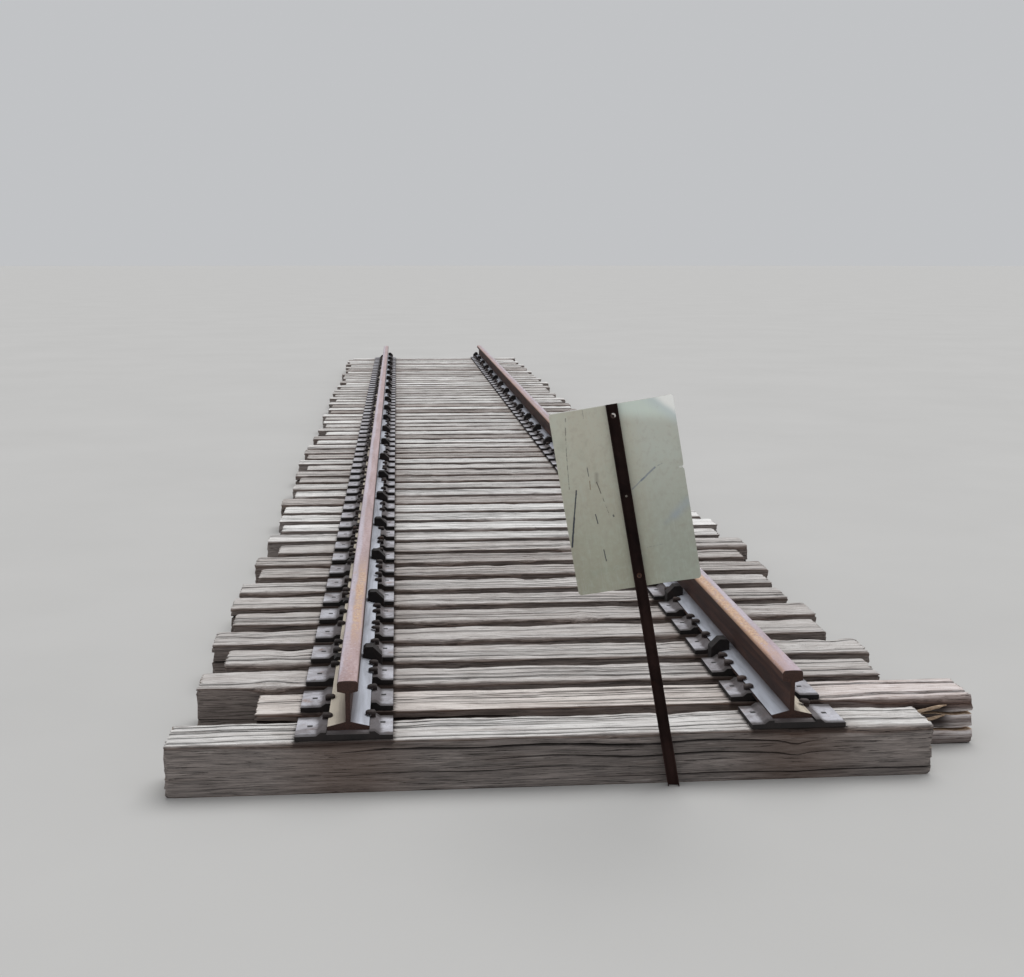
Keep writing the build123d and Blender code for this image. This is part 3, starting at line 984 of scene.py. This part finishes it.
# Sign
lean = Matrix.Rotation(math.radians(-sign_lean), 3, "Y")
turn = Matrix.Rotation(math.radians(sign_yaw), 3, "Z") @ lean
across = turn @ Vector((1, 0, 0))
along = turn @ Vector((0, 0, 1))
towards = across.cross(along)
leg_reach = abs(across.y) * post_width / 2 + along.y / along.z * tie_height
sign_place = Matrix((across, along, towards)).transposed().to_4x4()
sign_place.translation = Vector((post_foot_x, -tie_width / 2 - leg_reach - seat_clearance, 0))


def panel_bend(x, y):
    """How far the sheet stands towards the track's end, at x across it and y up its post."""
    right, top = panel_width / 2 - x, post_length - y
    bottom = y - post_length + panel_height
    fold = max(fold_reach - (right + top) / math.sqrt(2), 0)
    lower = max(lower_bend_reach - (right + bottom) / math.sqrt(2), 0)
    upper = fold_radius - math.sqrt(fold_radius**2 - fold**2)
    wave = 0.7 * mm * math.sin(9 * x + 4 * y + 1) * min(abs(x) / 0.06, 1)
    return wave - upper + lower**2 / lower_bend_curve


def spread(low, high, cells):
    """Even places from low to high, closer together within a corner's radius of both ends."""
    fine = np.array([0, 1.5, 3.5, 6, 9]) * mm
    even = np.linspace(low + panel_corner_radius, high - panel_corner_radius, cells)
    return np.concatenate([low + fine, even, high - fine[::-1]])


def sheet_point(x, y, layer):
    """A point of the sheet: its corners rounded, its right edge nicked, its corners bent."""
    low = (-panel_width / 2, post_length - panel_height)
    high = (panel_width / 2, post_length)
    cut = [max(low[i] + panel_corner_radius - v, v - high[i] + panel_corner_radius, 0)
           for i, v in enumerate((x, y))]
    if min(cut) > 0:
        share = max(cut) / math.hypot(*cut)
        x -= math.copysign(cut[0] * (1 - share), x)
        y -= math.copysign(cut[1] * (1 - share), y - (low[1] + high[1]) / 2)
    nick = 1 - abs(y - post_length + nick_drop) / nick_half
    if nick > 0 and x > high[0] - nick_margin:
        x -= nick_depth * nick * (x - high[0] + nick_margin) / nick_margin
    return x, y, panel_bend(x, y) - layer * panel_thickness


def sign_panel():
    """The sheet as a fine grid with two faces and a rim, bent at its right corners."""
    xs = spread(-panel_width / 2, panel_width / 2, 46)
    ys = spread(post_length - panel_height, post_length, 76)
    vertices = [sheet_point(x, y, layer) for layer in (0, 1) for y in ys for x in xs]
    index = numbered(len(ys), len(xs))
    cells = quads(index[:-1, :-1], index[:-1, 1:], index[1:, 1:], index[1:, :-1])
    rim = np.concatenate([index[0], index[1:, -1], index[-1, -2::-1], index[-2:0:-1, 0]])
    walls = quads(rim, rim + index.size, np.roll(rim, -1) + index.size, np.roll(rim, -1))
    faces = cells.tolist() + (cells[:, ::-1] + index.size).tolist() + walls.tolist()
    kinds = [0] * len(cells) + [1] * len(cells) + [0] * len(walls)
    looks = [panel_material(sign_scratches()), face_material()]
    piece = make_object("sign_sheet", vertices, faces, looks, kinds)
    piece.matrix_world = sign_place @ Matrix.Translation((-panel_offset, 0, 0))
    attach(piece, "root")
    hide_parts("sign_panel")


def sign_scratches():
    """Marks on the panel's back: start, end, half width, strength and colour."""
    ink = rgb(50, 54, 66)
    faint = rgb(96, 94, 92)
    dark = rgb(62, 58, 60)
    rust = rgb(122, 98, 74)
    blue = rgb(106, 114, 126)
    # In mm, with places measured from the middle of the sheet's upper edge
    marks = [
        ((-154, -262), (-176, -352), 2.2, 0.9, ink),
        ((-176, -352), (-198, -444), 2.8, 0.95, ink),
        ((-150, -23), (-158, -72), 1.7, 0.55, dark),
        ((-158, -72), (-166, -140), 1.2, 0.59, dark),
        ((-166, -140), (-176, -254), 1.3, 0.55, dark),
        ((-84, -245), (-76, -283), 1.5, 0.75, dark),
        ((-76, -283), (-62, -350), 1.1, 0.58, dark),
        ((-80, -218), (-84, -245), 4.5, 0.3, dark),
        ((-48, -361), (-47, -365), 2.6, 0.7, ink),
        ((-107, -193), (-106, -221), 1.4, 0.7, ink),
        ((-106, -238), (-108, -265), 1.6, 0.65, rust),
        ((-105, -350), (-102, -380), 1.6, 0.85, ink),
        ((-97, -470), (-95, -508), 1.6, 0.8, ink),
        ((27, -286), (70, -254), 2.0, 0.6, rgb(126, 134, 146)),
        ((60, -262), (110, -226), 2.6, 0.6, rgb(112, 122, 140)),
        ((110, -226), (135, -217), 1.4, 0.45, blue),
        ((190, -237), (199, -237), 3.0, 0.8, rgb(212, 214, 208)),
        ((44, -484), (99, -481), 1.2, 0.35, blue),
        ((118, -412), (160, -384), 7.0, 0.2, rgb(136, 146, 164)),
        ((150, -392), (199, -352), 11.0, 0.32, rgb(158, 172, 192)),
        ((4, -305), (5, -305), 7.0, 0.7, rgb(112, 102, 100)),
        ((-92, -5), (-92, -35), 1.2, 0.45, faint),
        ((150, -34), (152, -42), 3.4, 0.5, rgb(206, 212, 206)),
    ]
    return [((a * mm, post_length + b * mm), (c * mm, post_length + d * mm), w * mm, k, colour)
            for (a, b), (c, d), w, k, colour in marks]


sign_panel()

# Finish of the kept solids
looks = {
    "left_rail": rail_material("left_rail_rust", -1, 2 * mm, (0.55, 1.65, -0.2, 0.75)),
    "right_rail": rail_material("right_rail_rust", 1, 9 * mm, (0.2, 1.6, -1.5, 0.1)),
    "sign_post": post_rust,
    "sign_nut_upper": zinc_painted_light,
    "sign_washer_upper": zinc_painted_light,
    "sign_nut_lower": nut_rust,
    "sign_washer_lower": nut_rust,
    "sign_bolt_upper": bolt_rust,
    "sign_bolt_lower": bolt_rust,
}
for bay in range(bays):
    for side in ("left", "right"):
        looks[f"tie_plates_{side}_{bay + 1}"] = plate_rust
        looks[f"rail_anchors_{side}_{bay + 1}"] = anchor_rust
for node, look in looks.items():
    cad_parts[node].data.materials.clear()
    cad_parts[node].data.materials.append(look)


# Stage
floor_radius = 400
floor_middle = (0, 8, 0)
light_strength = 0.56
# Of each lamp: name, turn in degrees, energy and angle of its light in degrees
lamps = (("key", (-24, 12, 0), 2.0, 45), ("fill", (40, -30, 0), 0.3, 60))


def stage():
    """A wide pale floor, even light from all sides, and two soft lamps."""
    bpy.ops.mesh.primitive_circle_add(
        vertices=96, radius=floor_radius, fill_type="NGON", location=floor_middle)
    floor = bpy.context.object
    floor.name = "floor"
    s = Shader("pale_floor")
    pale = s.ramp(s.noise(0.6, 3), [(0.3, rgb(176, 175, 173)), (0.7, rgb(180, 179, 177))])
    s.set(Base_Color=pale, Roughness=0.95)
    floor.data.materials.append(s.material)

    world = bpy.data.worlds.new("soft_light")
    bpy.context.scene.world = world
    world.use_nodes = True
    light = world.node_tree.nodes["Background"]
    light.inputs["Color"].default_value = rgb(250, 252, 255)
    light.inputs["Strength"].default_value = light_strength

    for name, turn, energy, angle in lamps:
        lamp = bpy.data.lights.new(name, "SUN")
        lamp.energy = energy
        lamp.angle = math.radians(angle)
        piece = bpy.data.objects.new(name, lamp)
        piece.rotation_euler = [math.radians(a) for a in turn]
        bpy.context.scene.collection.objects.link(piece)


def camera():
    """The photograph's camera: left of the track's middle, turned to the right, tilted down."""
    lens = bpy.data.cameras.new("camera")
    lens.sensor_width = 36
    lens.lens = focal_length / photo_width * lens.sensor_width
    lens.clip_end = 900
    view = bpy.data.objects.new("camera", lens)
    view.location = (-camera_left, rail_start - camera_before_rails, camera_height)
    view.rotation_euler = (math.radians(90 - camera_tilt), 0, math.radians(-camera_turn))
    bpy.context.scene.collection.objects.link(view)
    bpy.context.scene.camera = view


stage()
camera()
bpy.context.scene.view_settings.view_transform = "Standard"
